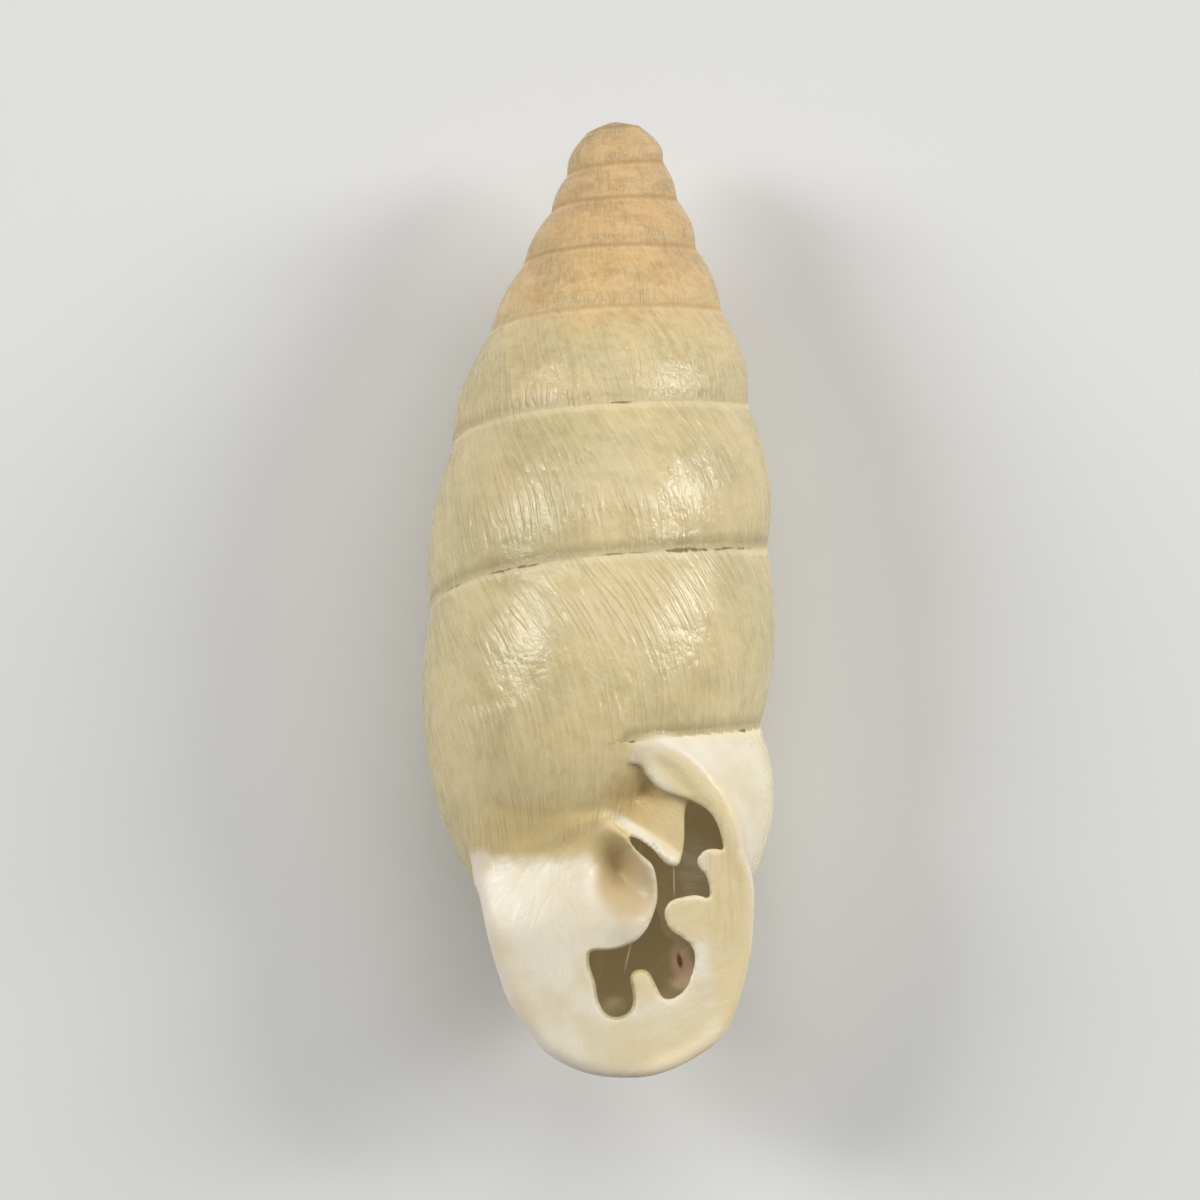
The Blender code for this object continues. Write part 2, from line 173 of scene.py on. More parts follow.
def alongTurns(turn, values):
    # smooth curve through values listed every half turn
    steps = np.clip((turn - coil["firstTurn"]) * 2, 0, len(values) - 1.001)
    low = np.floor(steps).astype(int)
    f = steps - low
    last = len(values) - 1
    before, start, end, after = (
        values[np.clip(low + shift, 0, last)] for shift in (-1, 0, 1, 2))
    return 0.5 * (
        2 * start + (end - before) * f
        + (2 * before - 5 * start + 4 * end - after) * f ** 2
        + (3 * start - before - 3 * end + after) * f ** 3)


def blendMin(a, b, width):
    # smaller of two distances with the crease rounded
    share = np.clip(0.5 + 0.5 * (b - a) / width, 0, 1)
    return b + (a - b) * share - width * share * (1 - share)


def blendMax(a, b, width):
    return -blendMin(-a, -b, width)


def smoothStep(x, low, high):
    t = np.clip((x - low) / (high - low), 0, 1)
    return t * t * (3 - 2 * t)


def addHills(face, u, v, hills):
    for height, centre, size, turn in hills:
        c, s = cos(radians(turn)), sin(radians(turn))
        du, dv = u - centre[0], v - centre[1]
        away = ((du * c + dv * s) / size[0]) ** 2 + ((dv * c - du * s) / size[1]) ** 2
        face = face + height * np.exp(-away)
    return face


def whorlDistance(r, y, turn):
    # one whorl, taken as solid down to the axis
    top = alongTurns(turn, coil["sutureHeight"])
    pitch = top - alongTurns(turn + 1, coil["sutureHeight"])
    upper = alongTurns(turn, coil["sutureRadius"])
    lower = alongTurns(turn + 1, coil["sutureRadius"])
    bulge = 4 * alongTurns(turn, coil["bulge"])
    down = (top - y) / pitch
    t = np.clip(down, 0, 1)
    side = upper + (lower - upper) * t + bulge * t * (1 - t)
    slope = (lower - upper + bulge * (1 - 2 * t)) / pitch
    d = (r - side) / np.sqrt(1 + slope * slope)

    # below its side the base closes to the axis like half an egg
    reach = coil["baseEnd"] - 1 - coil["baseLift"] * np.clip(turn - coil["lastWhorl"], 0, 0.6)
    s = (down - 1) / reach
    c = np.clip(s, 0, 1)
    lean = (lower - upper - bulge) * reach / np.maximum(lower, 0.05)
    wide = np.maximum(lower, 0.05) * (1 + lean * c * (1 - 0.6 * c * c))
    shrink = lower * lean * (1 - 1.8 * c * c) * (s < 1)
    across = 2 * r / wide ** 2
    along = (2 * s - 2 * r * r * shrink / wide ** 3) / (reach * pitch)
    steep = np.maximum(np.hypot(across, along), 1 / wide)
    base = ((r / wide) ** 2 + s * s - 1) / steep
    d = np.where(down > 1, base, d)
    return np.maximum(d, -down * pitch)


class FlatOutline:
    # signed distance to a closed curve, looked up on a fine square grid
    step = 0.02

    def __init__(self, points, low=(-4.6, -13.6), high=(5.2, -3.0)):
        self.low = np.array(low)
        self.count = np.ceil((np.array(high) - self.low) / self.step).astype(int) + 1
        u = self.low[0] + self.step * np.arange(self.count[0])
        v = self.low[1] + self.step * np.arange(self.count[1])
        gu, gv = np.meshgrid(u, v, indexing="ij")
        a = self.smoothLoop(points)
        b = np.roll(a, -1, axis=0)
        near = np.full(gu.shape, 1e9)
        within = np.zeros(gu.shape, bool)
        for (au, av), (bu, bv) in zip(a, b):
            du, dv = bu - au, bv - av
            t = np.clip(((gu - au) * du + (gv - av) * dv) / (du * du + dv * dv), 0, 1)
            near = np.minimum(near, (gu - au - t * du) ** 2 + (gv - av - t * dv) ** 2)
            crosses = (av > gv) != (bv > gv)
            if abs(dv) > 1e-9:
                within ^= crosses & (gu < au + (gv - av) * du / dv)
        self.grid = np.sqrt(near) * np.where(within, -1, 1)

    def smoothLoop(self, points, steps=4):
        p = np.array(points, float) / 100
        f = np.linspace(0, 1, steps, endpoint=False)[None, :, None]
        before, start, end, after = (
            np.roll(p, -shift, axis=0)[:, None, :] for shift in (-1, 0, 1, 2))
        curve = 0.5 * (
            2 * start + (end - before) * f
            + (2 * before - 5 * start + 4 * end - after) * f ** 2
            + (3 * start - before - 3 * end + after) * f ** 3)
        return curve.reshape(-1, 2)

    def __call__(self, u, v):
        fu = np.clip((u - self.low[0]) / self.step, 0, self.count[0] - 1.001)
        fv = np.clip((v - self.low[1]) / self.step, 0, self.count[1] - 1.001)
        i, j = fu.astype(int), fv.astype(int)
        fu, fv = fu - i, fv - j
        g = self.grid
        return ((g[i, j] * (1 - fu) + g[i + 1, j] * fu) * (1 - fv)
                + (g[i, j + 1] * (1 - fu) + g[i + 1, j + 1] * fu) * fv)


lipEdge = FlatOutline(outlines["lipEdge"])
opening = FlatOutline(outlines["opening"])
shelf = FlatOutline(outlines["shelf"])
print("outlines ready")


def pictureFrame(x, y, z):
    # right, up and towards the eye
    up = y * cos(pose["tilt"]) + z * sin(pose["tilt"])
    near = -y * sin(pose["tilt"]) + z * cos(pose["tilt"])
    return (x * cos(pose["lean"]) + up * sin(pose["lean"]),
            -x * sin(pose["lean"]) + up * cos(pose["lean"]), near)


def lipLevel(u, v):
    # the lip bends back to both sides, and its callus sinks to the wall above it
    bend = np.where(u < 0, lip["bendLeft"], lip["bendRight"])
    left = np.maximum(0.6 - u, 0)
    sink = (0.2 + 0.25 * left) * smoothStep(v, -9.0, -5.6) * smoothStep(left, 0, 0.8)
    return lip["level"] + lip["slope"] * v - bend * u * u - sink


def lipFace(u, v, level, edge):
    # dished on the right, with the knob of the column and the pit above it
    face = level - lip["dish"] * smoothStep(-edge, 0.1, 0.5) * smoothStep(u, 0.9, 1.9)
    return addHills(face, u, v, lip["hills"])


def shelfCut(u, v, shelfTop):
    # the shelf runs out into the whorl above it
    middle, reach = upperFold["middle"], upperFold["reach"]
    away = np.hypot((u - middle[0]) / reach[0], np.maximum(v - middle[1], 0) / reach[1])
    return shelfTop + upperFold["rise"] * (1 - smoothStep(1 - away, 0, 0.6))


def shellParts(x, y, z):
    # distance to the skin, with the pieces it is made of
    r = np.hypot(x, z)
    a = (np.arctan2(z, x) / (2 * pi)) % 1.0
    u, v, near = pictureFrame(x, y, z)
    edge = lipEdge(u, v)
    hole = opening(u, v)
    ledge = shelf(u, v)
    level = lipLevel(u, v)
    face = lipFace(u, v, level, edge)
    shelfTop = addHills(level - upperFold["drop"], u, v, upperFold["hills"])
    depth = level - near

    body = np.full(r.shape, 9.0)
    for index in range(-1, coil["lastWhorl"]):
        body = blendMin(body, whorlDistance(r, y, index + a), coil["fillet"])
    body = body - coil["swell"]

    # the last whorl folds back round the back and ends on the left, behind the lip
    lastA = np.where(a < coil["lastGrown"], a, coil["lastFold"] * (1 - a))
    last = whorlDistance(r, y, coil["lastWhorl"] + lastA)
    underside = smoothStep(-y, 7.2, 9.2)
    leftEnd = coil["lastLeft"] - coil["lastUnder"] * underside
    last = blendMax(last, leftEnd - x, 0.2 + 0.8 * underside)
    backEnd = 0.02 + 0.7 * smoothStep(-y, 8.6, 10.4)
    last = blendMax(last, -backEnd - z, backEnd)

    # the lip flares: its outline draws in with depth behind the face
    inset = lip["bead"] * smoothStep(depth, 0.1, 0.5)
    inset = inset + lip["draw"] * np.maximum(depth - lip["edge"], 0)
    flare = (edge - 0.03 + inset) / 1.3
    mouth = blendMin(last, flare, 0.7)
    rim = 0.12 + 0.25 * smoothStep(-u, -2.2, 0.5)
    mouth = blendMax(mouth, near - face, rim)
    mouth = blendMax(mouth, -np.maximum(ledge, shelfTop - near), 0.12)

    # the upper fold: its shelf is cut out and its tooth set in
    zone = np.maximum(ledge, upperFold["lowest"] - z)
    body = blendMax(body, -np.maximum(zone, shelfCut(u, v, shelfTop) - near), 0.12)
    tooth = np.maximum(ledge, shelfTop - lip["plate"] - 0.1 - near)
    tooth = blendMax(tooth, near - shelfTop + 0.3 * smoothStep(1.0 - u, 0, 0.6), 0.08)
    tooth = blendMax(tooth, upperFold["toothLeft"] - u, 0.3)

    # lip and callus melt into the whorl above, more so on the left
    merge = 0.55 * smoothStep(-v, 4.9, 6.0) * smoothStep(-u, -1.4, -0.4)
    merge += 0.04 + 0.4 * smoothStep(-u, 1.5, 3)
    skin = blendMin(blendMin(body, mouth, merge), tooth, 0.2)

    # hollow of the last turn, then the throat behind the teeth
    onLast = (a < 0.42) & (x > -0.4)
    lastTurn = np.where(onLast, coil["lastWhorl"] + a, coil["lastWhorl"] - 1 + a)
    hollow = whorlDistance(r, y, lastTurn) + inside["wall"]
    hollow = blendMax(hollow, -whorlDistance(r, y, lastTurn - 1), 0.5)
    hollow = blendMax(hollow, inside["pillar"] - r, 0.4)
    hollow = np.maximum(hollow, (inside["from"] - lastTurn) * 2 * pi * inside["radius"])
    hollow = np.maximum(hollow, np.where(lastTurn >= coil["lastWhorl"], -0.1 - x, -9.0))
    throat = blendMax(hole - 0.3, depth - inside["throat"], 0.4)
    hollow = blendMin(hollow, throat, 0.15)
    top = np.where(ledge < 0, shelfTop, face)
    hollow = blendMax(hollow, lip["plate"] + near - top, 0.1)
    hollow = blendMax(hollow, skin + 0.7 * inside["wall"], 0.1)
    hollow = blendMax(hollow, inside["floor"] - z, 0.3)
    slot = blendMax(hole, depth - inside["slot"], 0.2)
    space = np.minimum(hollow, slot)
    distance = blendMax(skin, -space, lip["round"])
    return {"distance": distance, "skin": skin, "space": space, "body": body,
            "mouth": np.minimum(mouth, tooth), "edge": edge, "hole": hole,
            "ledge": ledge, "u": u, "v": v, "near": near}


def shellDistance(x, y, z):
    return shellParts(x, y, z)["distance"]


def coilPlace(x, y, z):
    # turn of the whorl that a point on the outside belongs to
    a = (np.arctan2(z, x) / (2 * pi)) % 1.0
    turn = np.full(np.shape(x), -1.0) + a
    for index in range(0, coil["lastWhorl"] + 1):
        top = alongTurns(index + a, coil["sutureHeight"])
        leftEnd = coil["lastLeft"] - coil["lastUnder"] * (y < -8)
        started = (y < top) & ((index < coil["lastWhorl"]) | (x > leftEnd))
        turn = np.where(started, index + a, turn)
    return turn


def seamDistance(x, y, z):
    # height below the nearest seam, negative above it
    a = (np.arctan2(z, x) / (2 * pi)) % 1.0
    gap = np.full(np.shape(x), 9.0)
    for index in range(0, coil["lastWhorl"] + 1):
        below = alongTurns(index + a, coil["sutureHeight"]) - y
        if index == coil["lastWhorl"]:
            # the last seam ends where the lip begins
            beyond = np.maximum(1.0 - x, 0)
            below = np.where(a < 0.3, np.copysign(np.hypot(below, beyond), below), 9.0)
        gap = np.where(np.abs(below) < np.abs(gap), below, gap)
    return gap


def untangle(field):
    # fill the samples where two skins would otherwise touch in one cell
    faces = [((0, 0, 0), (1, 1, 0), (1, 0, 0), (0, 1, 0)),
             ((0, 0, 0), (1, 0, 1), (1, 0, 0), (0, 0, 1)),
             ((0, 0, 0), (0, 1, 1), (0, 1, 0), (0, 0, 1))]
    size = np.array(field.shape) - 1

    def part(corner):
        return field[tuple(slice(c, c + n) for c, n in zip(corner, size))]

    for _ in range(20):
        filled = 0
        for a, b, c, d in faces:
            for p, q, r, s in ((a, b, c, d), (c, d, a, b)):
                mixed = (part(p) >= 0) & (part(q) >= 0) & (part(r) < 0) & (part(s) < 0)
                filled += mixed.sum()
                part(p)[mixed] = -1e-4
        if not filled:
            break


def sampleField(axes):
    # exact distances near the skin only; elsewhere a coarse sign will do
    counts = [len(axis) for axis in axes]
    group = sampling["group"]
    rough = [axis[::group] for axis in axes]
    grid = np.meshgrid(*rough, indexing="ij")
    coarse = shellDistance(*(g.ravel() for g in grid)).reshape(grid[0].shape)
    widest = max(np.diff(axis).max() for axis in rough)
    close = np.abs(coarse) < 1.3 * widest
    cells = np.zeros(np.array(close.shape) - 1, bool)
    for i in (0, 1):
        for j in (0, 1):
            for k in (0, 1):
                cells |= close[i:i + cells.shape[0], j:j + cells.shape[1], k:k + cells.shape[2]]
    band = cells
    for axis in range(3):
        band = np.repeat(band, group, axis=axis)
    band = np.pad(band, ((0, 1),) * 3, mode="edge")
    for axis in range(3):
        band = band | np.roll(band, 1, axis=axis)
    nearest = [np.minimum((np.arange(n) + group // 2) // group, len(r) - 1)
               for n, r in zip(counts, rough)]
    field = coarse[np.ix_(*nearest)].copy()
    where = np.argwhere(band)
    for start in range(0, len(where), sampling["batch"]):
        some = where[start:start + sampling["batch"]]
        x, y, z = (axes[k][some[:, k]] for k in range(3))
        field[tuple(some.T)] = shellDistance(x, y, z)
    return field


def gridAxis(low, high, fineLow, fineHigh, factor):
    # spacing fine between two places and coarse beyond them, in whole groups
    fine, coarse = sampling["fine"] * factor, sampling["coarse"] * factor
    places = [low]
    while places[-1] < high or len(places) % sampling["group"] != 1:
        at = places[-1]
        outside = max(fineLow - at, at - fineHigh, 0)
        places.append(at + fine + (coarse - fine) * min(outside / 1.5, 1))
    return np.array(places)


def surfaceNet(factor):
    # closed skin where the distance is zero, one corner per crossed cell
    axes = [gridAxis(*places, factor) for places in sampling["ranges"]]
    field = sampleField(axes)
    untangle(field)
    within = field < 0
    cells = np.array(field.shape) - 1
    corners = [(i, j, k) for i in (0, 1) for j in (0, 1) for k in (0, 1)]
    amount = np.zeros(cells, int)
    for i, j, k in corners:
        amount += within[i:i + cells[0], j:j + cells[1], k:k + cells[2]]
    crossed = (amount > 0) & (amount < 8)
    where = np.argwhere(crossed)
    number = np.full(cells, -1)
    number[crossed] = np.arange(len(where))
    total = np.zeros((len(where), 3))
    hits = np.zeros(len(where))
    for first in corners:
        for axis in range(3):
            if first[axis]:
                continue
            second = list(first)
            second[axis] = 1
            a = field[tuple((where + first).T)]
            b = field[tuple((where + second).T)]
            cut = (a < 0) != (b < 0)
            share = np.where(cut, a / np.where(cut, a - b, 1), 0)
            point = np.array(first, float)[None, :] + np.zeros((len(where), 1))
            point[:, axis] = share
            total += point * cut[:, None]
            hits += cut
    total /= hits[:, None]
    points = np.empty((len(where), 3))
    for k in range(3):
        at = axes[k][where[:, k]]
        points[:, k] = at + total[:, k] * (axes[k][where[:, k] + 1] - at)
    quads = []
    for axis in range(3):
        p, q = (axis + 1) % 3, (axis + 2) % 3
        ahead = [slice(None)] * 3
        behind = [slice(None)] * 3
        ahead[axis] = slice(1, None)
        behind[axis] = slice(None, -1)
        a, b = within[tuple(behind)], within[tuple(ahead)]
        edges = np.argwhere(a != b)
        out = a[tuple(edges.T)]
        ring = []
        for dp, dq in ((-1, -1), (0, -1), (0, 0), (-1, 0)):
            cell = edges.copy()
            cell[:, p] += dp
            cell[:, q] += dq
            ring.append(number[tuple(cell.T)])
        ring = np.array(ring).T
        quads.append(np.where(out[:, None], ring, ring[:, ::-1]))
    return points, np.concatenate(quads)


def mainPiece(points, quads):
    # the piece with the most corners; crumbs are dropped
    label = np.arange(len(points))
    while True:
        lowest = label[quads].min(axis=1)
        following = label.copy()
        for side in range(4):
            np.minimum.at(following, quads[:, side], lowest)
        following = following[following]
        if (following == label).all():
            break
        label = following
    names, amounts = np.unique(label, return_counts=True)
    kept = label == names[amounts.argmax()]
    renumber = np.cumsum(kept) - 1
    return points[kept], renumber[quads[kept[quads[:, 0]]]]


def settle(points, step, rounds=3):
    # move the corners onto the skin along the slope of the distance
    nudge = 0.008
    for _ in range(rounds):
        d = shellDistance(*points.T)
        slope = np.empty(points.shape)
        for axis in range(3):
            shift = np.zeros(3)
            shift[axis] = nudge
            slope[:, axis] = (shellDistance(*(points + shift).T)
                              - shellDistance(*(points - shift).T)) / (2 * nudge)
        size = np.maximum((slope ** 2).sum(axis=1), 0.25)
        move = -d[:, None] * slope / size[:, None]
        length = np.linalg.norm(move, axis=1, keepdims=True)
        points = points + move * np.minimum(1, 0.4 * step / np.maximum(length, 1e-9))
    return points


def addField(mesh, name, values, kind="FLOAT", domain="POINT"):
    # one number or vector for each corner, read by the material
    layer = mesh.attributes.new(name, kind, domain)
    layer.data.foreach_set("value" if kind == "FLOAT" else "vector",
                           np.ascontiguousarray(values, dtype=np.float32).ravel())


def addCoilFields(mesh, points, quads):
    # each face belongs to one whorl, so that lines break cleanly at the seams
    faceTurn = coilPlace(*points[quads].mean(axis=1).T)
    corner = points[quads]
    a = (np.arctan2(corner[..., 2], corner[..., 0]) / (2 * pi)) % 1.0
    turn = a + np.round(faceTurn[:, None] - a)
    top = alongTurns(turn, coil["sutureHeight"])
    pitch = top - alongTurns(turn + 1, coil["sutureHeight"])
    below = top - corner[..., 1]
    lean = coil["lineLean"] * below + coil["lineBend"] * below ** 2 / pitch
    addField(mesh, "growth", turn * 2 * pi * coil["lineRadius"] + lean, domain="CORNER")
    addField(mesh, "down", below / pitch, domain="CORNER")
    addField(mesh, "turn", turn, domain="CORNER")


def buildShell():
    factor = 1.0
    points, quads = surfaceNet(factor)
    points, quads = mainPiece(points, quads)
    points = settle(points, sampling["fine"] * factor)
    print("shell net:", len(points), "corners")

    placed = points - np.array(pose["middle"])
    placed[:, 2] = np.maximum(placed[:, 2], 0)     # the flat spot it rests on
    mesh = bpy.data.meshes.new("shellSkin")
    mesh.from_pydata((placed * mm).tolist(), [], quads.tolist())
    mesh.update()
    mesh.polygons.foreach_set("use_smooth", np.ones(len(quads), bool))
    addCoilFields(mesh, points, quads)
    parts = shellParts(*points.T)
    seam = seamDistance(*points.T)
    addField(mesh, "seamGap", seam)
    addField(mesh, "seamAway", np.abs(seam))
    addField(mesh, "innerSide", smoothStep(parts["skin"], -0.02, -0.12))
    addField(mesh, "mouthPart", smoothStep(parts["body"] - parts["mouth"], -0.05, 0.2))
    addField(mesh, "holeGap", parts["hole"])
    addField(mesh, "lipGap", parts["edge"])
    addField(mesh, "ledgeGap", parts["ledge"])
    picture = np.stack([parts["u"], parts["v"], parts["near"]], axis=1)
    addField(mesh, "picture", picture, "FLOAT_VECTOR")
    shell = bpy.data.objects.new("shellSkin", mesh)
    bpy.context.scene.collection.objects.link(shell)
    return shell


# ---- materials ----

def tint(red, green, blue):
    # screen colour, 0 to 255, as the light value that shaders use
    values = []
    for value in (red, green, blue):
        value /= 255
        values.append(value / 12.92 if value <= 0.04045 else ((value + 0.055) / 1.055) ** 2.4)
    return (*values, 1.0)


class Graph:
    # short calls for adding and joining nodes
    def __init__(self, tree):
        self.tree = tree

    def node(self, kind, **settings):
        made = self.tree.nodes.new(kind)
        for key, value in settings.items():
            setattr(made, key, value)
        return made

    def put(self, socket, value):
        if isinstance(value, bpy.types.NodeSocket):
            self.tree.links.new(value, socket)
        elif value is not None:
            socket.default_value = value

    def math(self, operation, a, b=None, c=None, clamp=False):
        made = self.node("ShaderNodeMath", operation=operation, use_clamp=clamp)
        for socket, value in zip(made.inputs, (a, b, c)):
            self.put(socket, value)
        return made.outputs[0]

    def mix(self, factor, a, b, blend="MIX"):
        made = self.node("ShaderNodeMix", data_type="RGBA", blend_type=blend)
        self.put(made.inputs[0], factor)
        self.put(made.inputs[6], a)
        self.put(made.inputs[7], b)
        return made.outputs[2]

    def ramp(self, value, fromLow, fromHigh, toLow=0.0, toHigh=1.0, smooth=True):
        made = self.node("ShaderNodeMapRange", clamp=True,
                         interpolation_type="SMOOTHSTEP" if smooth else "LINEAR")
        for socket, item in zip(made.inputs, (value, fromLow, fromHigh, toLow, toHigh)):
            self.put(socket, item)
        return made.outputs[0]

    def field(self, name, output=2):
        made = self.node("ShaderNodeAttribute", attribute_name=name)
        return made.outputs[output]

    def vector(self, x, y, z):
        made = self.node("ShaderNodeCombineXYZ")
        for socket, value in zip(made.inputs, (x, y, z)):
            self.put(socket, value)
        return made.outputs[0]

    def noise(self, vector, scale, detail=2.0, rough=0.5, distort=0.0):
        made = self.node("ShaderNodeTexNoise")
        self.put(made.inputs["Vector"], vector)
        self.put(made.inputs["Scale"], scale)
        self.put(made.inputs["Detail"], detail)
        self.put(made.inputs["Roughness"], rough)
        self.put(made.inputs["Distortion"], distort)
        return made.outputs["Fac"]


def newGroup(name, inputs, outputs):
    group = bpy.data.node_groups.new(name, "ShaderNodeTree")
    for label, kind, value in inputs:
        socket = group.interface.new_socket(label, in_out="INPUT", socket_type=kind)
        if value is not None:
            socket.default_value = value
    for label, kind in outputs:
        group.interface.new_socket(label, in_out="OUTPUT", socket_type=kind)
    graph = Graph(group)
    start = graph.node("NodeGroupInput")
    end = graph.node("NodeGroupOutput")
    return group, graph, start.outputs, end.inputs


def growthGroup():
    # raised lines along the growing edge, with uneven strength
    group, g, given, out = newGroup(
        "growthLines",
        [("Growth", "NodeSocketFloat", 0.0), ("Down", "NodeSocketFloat", 0.0),
         ("Spacing", "NodeSocketFloat", 0.23)],
        [("Height", "NodeSocketFloat"), ("Streaks", "NodeSocketFloat")])
    along = g.math("DIVIDE", given["Growth"], given["Spacing"])
    down = given["Down"]
    drift = g.noise(g.vector(g.math("MULTIPLY", along, 0.5), g.math("MULTIPLY", down, 1.6), 0.0),
                    1.0, 2.0, 0.5)
    phase = g.math("MULTIPLY_ADD", drift, 3.2, along)
    wave = g.math("SINE", g.math("MULTIPLY", phase, 2 * pi))
    ridge = g.ramp(wave, -0.2, 1.0)
    fine = g.noise(g.vector(g.math("MULTIPLY", along, 2.2), g.math("MULTIPLY", down, 5.0), 3.0),
                   1.0, 2.0, 0.5)
    broad = g.noise(g.vector(g.math("MULTIPLY", along, 0.25), down, 5.0), 1.0, 2.0, 0.5, 0.4)
    patchy = g.noise(g.vector(g.math("MULTIPLY", along, 0.09),
                              g.math("MULTIPLY", down, 2.6), 9.0), 1.0, 2.0)
    strength = g.ramp(patchy, 0.40, 0.62, 0.08, 1.0)
    flecks = g.noise(g.vector(g.math("MULTIPLY", along, 1.4), g.math("MULTIPLY", down, 15.0), 6.0),
                     1.0, 3.0, 0.6)
    height = g.math("MULTIPLY", g.math("MULTIPLY_ADD", fine, 1.0, ridge), strength)
    height = g.math("MULTIPLY", height, 1.3)
    height = g.math("MULTIPLY_ADD", flecks, 0.9, height)
    g.put(out["Height"], g.math("MULTIPLY_ADD", broad, 2.4, height))
    both = g.math("ADD", g.math("MULTIPLY", ridge, 0.17), g.math("MULTIPLY", broad, 0.6))
    both = g.math("MULTIPLY_ADD", flecks, 0.3, both)
    g.put(out["Streaks"], g.ramp(both, 0.4, 0.65))
    return group


def cloudGroup():
    # soft patches where the thin wall lets the dark inside through
    group, g, given, out = newGroup(
        "thinPatches",
        [("Growth", "NodeSocketFloat", 0.0), ("Down", "NodeSocketFloat", 0.0),
         ("Size", "NodeSocketFloat", 2.2)],
        [("Patches", "NodeSocketFloat"), ("Mottle", "NodeSocketFloat"), ("Grain", "NodeSocketFloat")])
    along = g.math("DIVIDE", given["Growth"], given["Size"])
    down = g.math("MULTIPLY", given["Down"], 1.7)
    large = g.noise(g.vector(along, down, 2.0), 1.0, 3.0, 0.55, 0.3)
    small = g.noise(g.vector(g.math("MULTIPLY", along, 6.0), g.math("MULTIPLY", down, 6.0), 4.0),
                    1.0, 4.0, 0.65)
    grain = g.noise(g.vector(g.math("MULTIPLY", along, 22.0), g.math("MULTIPLY", down, 18.0), 8.0),
                    1.0, 3.0, 0.6)
    g.put(out["Patches"], g.ramp(large, 0.42, 0.62))
    g.put(out["Mottle"], g.ramp(small, 0.3, 0.7))
    g.put(out["Grain"], grain)
    return group


def spotGroup():
    # soft round or oval area at a place on the side that faces up
    group, g, given, out = newGroup(
        "spotOnFront",
        [("Picture", "NodeSocketVector", None), ("Right", "NodeSocketFloat", 0.0),
         ("Up", "NodeSocketFloat", 0.0), ("Wide", "NodeSocketFloat", 1.0),
         ("Tall", "NodeSocketFloat", 1.0), ("Turn", "NodeSocketFloat", 0.0),
         ("Soft", "NodeSocketFloat", 0.5), ("Nearest", "NodeSocketFloat", 1.5)],
        [("Mask", "NodeSocketFloat")])
    split = g.node("ShaderNodeSeparateXYZ")
    g.put(split.inputs[0], given["Picture"])
    du = g.math("SUBTRACT", split.outputs[0], given["Right"])
    dv = g.math("SUBTRACT", split.outputs[1], given["Up"])
    c, s = g.math("COSINE", given["Turn"]), g.math("SINE", given["Turn"])
    across = g.math("ADD", g.math("MULTIPLY", du, c), g.math("MULTIPLY", dv, s))
    along = g.math("SUBTRACT", g.math("MULTIPLY", dv, c), g.math("MULTIPLY", du, s))
    across = g.math("DIVIDE", across, given["Wide"])
    along = g.math("DIVIDE", along, given["Tall"])
    away = g.math("SQRT", g.math("ADD", g.math("MULTIPLY", across, across),
                                 g.math("MULTIPLY", along, along)))
    near = g.ramp(split.outputs[2], given["Nearest"], g.math("ADD", given["Nearest"], 1.0))
    low = g.math("SUBTRACT", 1.0, given["Soft"])
    mask = g.ramp(away, low, g.math("ADD", 1.0, given["Soft"]), 1.0, 0.0)
    g.put(out["Mask"], g.math("MULTIPLY", mask, near))
    return group


# colours are what the eye sees in daylight, 0 to 255
finish = {
    "along": [(-9.0, (208, 188, 138)), (-5.0, (216, 195, 143)), (0.0, (216, 195, 144)),
              (4.5, (212, 189, 138)), (6.9, (212, 188, 137)), (7.9, (218, 180, 118)),
              (10.0, (214, 167, 106)), (12.8, (220, 178, 120))],
    "thin": (190, 176, 128),
    "pale": (242, 229, 188),
    "deep": (182, 142, 84),
    "enamel": (242, 234, 212),
    "enamelShade": (232, 219, 186),
    "cream": (232, 212, 164),
    "gold": (222, 196, 138),
    "bowl": (202, 180, 138),
    # ochre tone with painted shade, used in the hollows
    "ochreHollowShade": (196, 162, 102),
    "lastWhorl": (252, 239, 200),
    "band": (238, 219, 166),
    "lilac": (234, 218, 214),
    "edgeYellow": (158, 142, 66),
    "innerWall": (160, 146, 114),
    # painted glow colour of the inside wall
    "paintedInnerGlow": (141, 137, 127),
    "innerPale": (226, 214, 184),
    "innerRose": (206, 182, 166),
    "innerRed": (110, 44, 18),
    "dirt": (132, 96, 44),
    # painted shadow just above the seams
    "paintedSeamShadow": (166, 150, 108),
}

# gloss and fine relief of the skin
gloss = {
    "rough": 0.13,
    "mottleRough": 0.14,     # added where the skin is mottled
    "mouthRough": 0.16,      # on lip and callus
    "seamRough": 0.4,        # and in dirt and creases
    "relief": 0.00002,       # height of the bump, in metres
    "underSkin": 0.2,        # share of light that goes under the skin
    "underReach": 0.0006,    # and how far, in metres
    "refraction": 1.5,
}

# soft areas on the lip, on the shelf and on the wall inside: colour and strength,
# then place, size, turn and softness
mouthAreas = [
    ("gold", 0.75, (-1.2, -6.1, 2.4, 0.75, 0.05, 0.4)),
    ("bowl", 0.85, (0.72, -7.6, 0.85, 1.0, 0.2, 0.3)),
    # ochre tone and painted shade in the pit above the knob
    ("ochreHollowShade", 0.45, (0.38, -7.2, 0.50, 0.72, 0.15, 0.6)),
    ("enamel", 0.65, (-0.2, -9.1, 1.1, 0.28, 0.1, 0.5)),
    ("enamel", 0.60, (-1.7, -8.3, 1.0, 1.0, 0.0, 0.6)),
    ("cream", 0.85, (3.45, -8.6, 0.62, 3.0, 0.05, 0.35)),
    ("cream", 0.85, (2.35, -8.45, 0.75, 0.60, -0.3, 0.4)),
    ("cream", 0.80, (1.15, -10.2, 0.40, 0.55, 0.0, 0.5)),
    ("cream", 0.55, (2.2, -11.6, 1.9, 0.9, 0.5, 0.6)),
    ("band", 0.80, (2.5, -4.95, 1.5, 0.45, -0.75, 0.4)),
]
